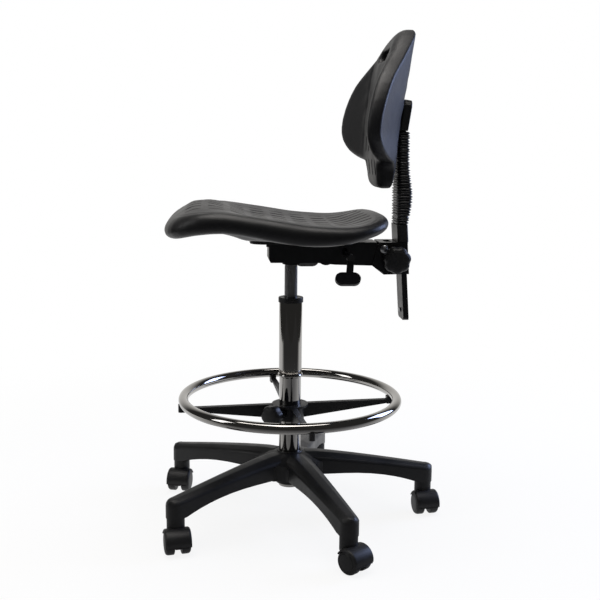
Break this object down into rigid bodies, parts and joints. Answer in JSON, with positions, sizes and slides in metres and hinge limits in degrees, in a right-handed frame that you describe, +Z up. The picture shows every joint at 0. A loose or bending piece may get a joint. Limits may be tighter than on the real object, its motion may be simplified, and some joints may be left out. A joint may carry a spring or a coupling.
{
  "type": "drafting chair",
  "caption": "Drafting chair: castor star base, chromed gas column with adjustable foot ring, moulded seat, and a backrest on a tilting, height-adjustable bar.",
  "frame": {"origin": "on the floor, on the column's axis", "axes": "+Z up the column, the chair faces -Y, +X is the side of the back lever and the clamp knob"},
  "size_m": [0.6503, 0.6201, 1.061],
  "materials": {
    "base_nylon": "satin",
    "castor_nylon": "satin",
    "wheel_nylon": "satin",
    "chrome": "polished",
    "bright_steel": "satin",
    "powder_coat": "satin",
    "black_plastic": "satin",
    "natural_plastic": "satin",
    "black_rubber": "matte",
    "seat_skin": "matte",
    "back_skin": "matte"
  },
  "bodies": {
    "base": {"base_star": "base_nylon", "column_tube": "chrome", "column_collar": "black_plastic", "guide_sleeve": "natural_plastic", "thrust_bearing": "bright_steel"},
    "rod": {"piston_rod": "bright_steel", "rod_clip": "bright_steel", "rubber_bumper": "black_rubber"},
    "mechanism": {"gas_cylinder": "bright_steel", "channel": "powder_coat", "taper_socket": "powder_coat", "lever_pins": "bright_steel", "pivot_bolt": "chrome", "seat_plate": "powder_coat", "seat_pan": "black_plastic", "seat_pad": "seat_skin", "seat_bolts": "bright_steel"},
    "valve": {"valve_button": "natural_plastic"},
    "lift_lever": {"lift_rod": "bright_steel", "lift_paddle": "black_plastic"},
    "back_lever": {"back_rod": "bright_steel", "back_paddle": "black_plastic"},
    "back_bracket": {"back_bracket": "powder_coat", "lock_pin": "bright_steel", "bar_guide": "black_plastic", "clamp_shoe": "black_plastic"},
    "lock_plates": {"lock_plates": "bright_steel"},
    "star_knob": {"clamp_stud": "bright_steel", "star_knob": "black_plastic"},
    "back": {"back_bar": "powder_coat", "bar_stop": "bright_steel", "gaiter": "black_rubber", "back_plate": "powder_coat", "back_cover": "black_plastic", "back_bolts": "bright_steel", "back_pad": "back_skin"},
    "foot_ring": {"ring_tube": "chrome", "ring_spider": "base_nylon", "ring_screws": "bright_steel"},
    "ring_knob": {"ring_knob": "black_plastic"},
    "castor_1": {"castor_1_hood": "castor_nylon", "castor_1_pins": "bright_steel"},
    "castor_1_wheel_a": {"castor_1_wheel_a": "wheel_nylon"},
    "castor_1_wheel_b": {"castor_1_wheel_b": "wheel_nylon"},
    "castor_2": {"castor_2_hood": "castor_nylon", "castor_2_pins": "bright_steel"},
    "castor_2_wheel_a": {"castor_2_wheel_a": "wheel_nylon"},
    "castor_2_wheel_b": {"castor_2_wheel_b": "wheel_nylon"},
    "castor_3": {"castor_3_hood": "castor_nylon", "castor_3_pins": "bright_steel"},
    "castor_3_wheel_a": {"castor_3_wheel_a": "wheel_nylon"},
    "castor_3_wheel_b": {"castor_3_wheel_b": "wheel_nylon"},
    "castor_4": {"castor_4_hood": "castor_nylon", "castor_4_pins": "bright_steel"},
    "castor_4_wheel_a": {"castor_4_wheel_a": "wheel_nylon"},
    "castor_4_wheel_b": {"castor_4_wheel_b": "wheel_nylon"},
    "castor_5": {"castor_5_hood": "castor_nylon", "castor_5_pins": "bright_steel"},
    "castor_5_wheel_a": {"castor_5_wheel_a": "wheel_nylon"},
    "castor_5_wheel_b": {"castor_5_wheel_b": "wheel_nylon"}
  },
  "joints": [
    {"name": "swivel", "type": "hinge", "parent": "base", "child": "rod", "pos_m": [0, 0, 0.2], "axis": [0, 0, 1], "continuous": true},
    {"name": "lift", "type": "slide", "parent": "rod", "child": "mechanism", "axis": [0, 0, 1], "range_m": [-0.045, 0.2]},
    {"name": "lift_lever", "type": "hinge", "parent": "mechanism", "child": "lift_lever", "pos_m": [-0.026, 0.058, 0.594], "axis": [0, 1, 0], "range_deg": [0, 6], "stiffness_Nm_per_rad": 1.5, "springref_deg": -5.73},
    {"name": "valve", "type": "slide", "parent": "mechanism", "child": "valve", "axis": [0, 0, -1], "range_m": [0, 0.0033]},
    {"name": "back_lever", "type": "hinge", "parent": "mechanism", "child": "back_lever", "pos_m": [-0.026, 0.112, 0.594], "axis": [0, -1, 0], "range_deg": [0, 6], "stiffness_Nm_per_rad": 1.5, "springref_deg": -5.73},
    {"name": "back_tilt", "type": "hinge", "parent": "mechanism", "child": "back_bracket", "pos_m": [0, 0.196, 0.603], "axis": [-1, 0, 0], "range_deg": [-4, 15]},
    {"name": "lock_plates", "type": "slide", "parent": "mechanism", "child": "lock_plates", "axis": [0, -1, 0], "range_m": [-0.002, 0.006]},
    {"name": "back_height", "type": "slide", "parent": "back_bracket", "child": "back", "axis": [0, -0.0698, 0.9976], "range_m": [-0.03, 0.08], "deforming": ["gaiter"]},
    {"name": "star_knob", "type": "hinge", "parent": "back_bracket", "child": "star_knob", "pos_m": [0.045, 0.221, 0.581], "axis": [1, 0, 0], "range_deg": [0, 540]},
    {"name": "foot_ring_height", "type": "slide", "parent": "base", "child": "foot_ring", "axis": [0, 0, 1], "range_m": [-0.06, 0.058]},
    {"name": "ring_knob", "type": "hinge", "parent": "foot_ring", "child": "ring_knob", "pos_m": [0.03886, -0.03147, 0.242], "axis": [0.7771, -0.6293, 0], "range_deg": [0, 540]},
    {"name": "castor_1_swivel", "type": "hinge", "parent": "base", "child": "castor_1", "pos_m": [0.28912, 0.09394, 0.07], "axis": [0, 0, 1], "continuous": true},
    {"name": "castor_1_wheel_a", "type": "hinge", "parent": "castor_1", "child": "castor_1_wheel_a", "pos_m": [0.29148, 0.11804, 0.025], "axis": [-0.6293, 0.7771, 0], "continuous": true},
    {"name": "castor_1_wheel_b", "type": "hinge", "parent": "castor_1", "child": "castor_1_wheel_b", "pos_m": [0.31319, 0.09123, 0.025], "axis": [-0.6293, 0.7771, 0], "continuous": true},
    {"name": "castor_2_swivel", "type": "hinge", "parent": "base", "child": "castor_2", "pos_m": [0, 0.304, 0.07], "axis": [0, 0, 1], "continuous": true},
    {"name": "castor_2_wheel_a", "type": "hinge", "parent": "castor_2", "child": "castor_2_wheel_a", "pos_m": [0.01443, 0.32345, 0.025], "axis": [-0.1392, 0.9903, 0], "continuous": true},
    {"name": "castor_2_wheel_b", "type": "hinge", "parent": "castor_2", "child": "castor_2_wheel_b", "pos_m": [0.01923, 0.28928, 0.025], "axis": [-0.1392, 0.9903, 0], "continuous": true},
    {"name": "castor_3_swivel", "type": "hinge", "parent": "base", "child": "castor_3", "pos_m": [-0.28912, 0.09394, 0.07], "axis": [0, 0, 1], "continuous": true},
    {"name": "castor_3_wheel_a", "type": "hinge", "parent": "castor_3", "child": "castor_3_wheel_a", "pos_m": [-0.27828, 0.1156, 0.025], "axis": [-0.309, 0.9511, 0], "continuous": true},
    {"name": "castor_3_wheel_b", "type": "hinge", "parent": "castor_3", "child": "castor_3_wheel_b", "pos_m": [-0.26762, 0.08279, 0.025], "axis": [-0.309, 0.9511, 0], "continuous": true},
    {"name": "castor_4_swivel", "type": "hinge", "parent": "base", "child": "castor_4", "pos_m": [-0.17869, -0.24594, 0.07], "axis": [0, 0, 1], "continuous": true},
    {"name": "castor_4_wheel_a", "type": "hinge", "parent": "castor_4", "child": "castor_4_wheel_a", "pos_m": [-0.15802, -0.23332, 0.025], "axis": [0.2419, 0.9703, 0], "continuous": true},
    {"name": "castor_4_wheel_b", "type": "hinge", "parent": "castor_4", "child": "castor_4_wheel_b", "pos_m": [-0.16637, -0.26679, 0.025], "axis": [0.2419, 0.9703, 0], "continuous": true},
    {"name": "castor_5_swivel", "type": "hinge", "parent": "base", "child": "castor_5", "pos_m": [0.17869, -0.24594, 0.07], "axis": [0, 0, 1], "continuous": true},
    {"name": "castor_5_wheel_a", "type": "hinge", "parent": "castor_5", "child": "castor_5_wheel_a", "pos_m": [0.19208, -0.22576, 0.025], "axis": [-0.1908, 0.9816, 0], "continuous": true},
    {"name": "castor_5_wheel_b", "type": "hinge", "parent": "castor_5", "child": "castor_5_wheel_b", "pos_m": [0.19867, -0.25963, 0.025], "axis": [-0.1908, 0.9816, 0], "continuous": true}
  ],
  "couplings": [
    {"joint": "valve", "follows": "lift_lever", "m_per_rad": 0.03},
    {"joint": "lock_plates", "follows": "back_tilt", "m_per_rad": 0.02}
  ]
}
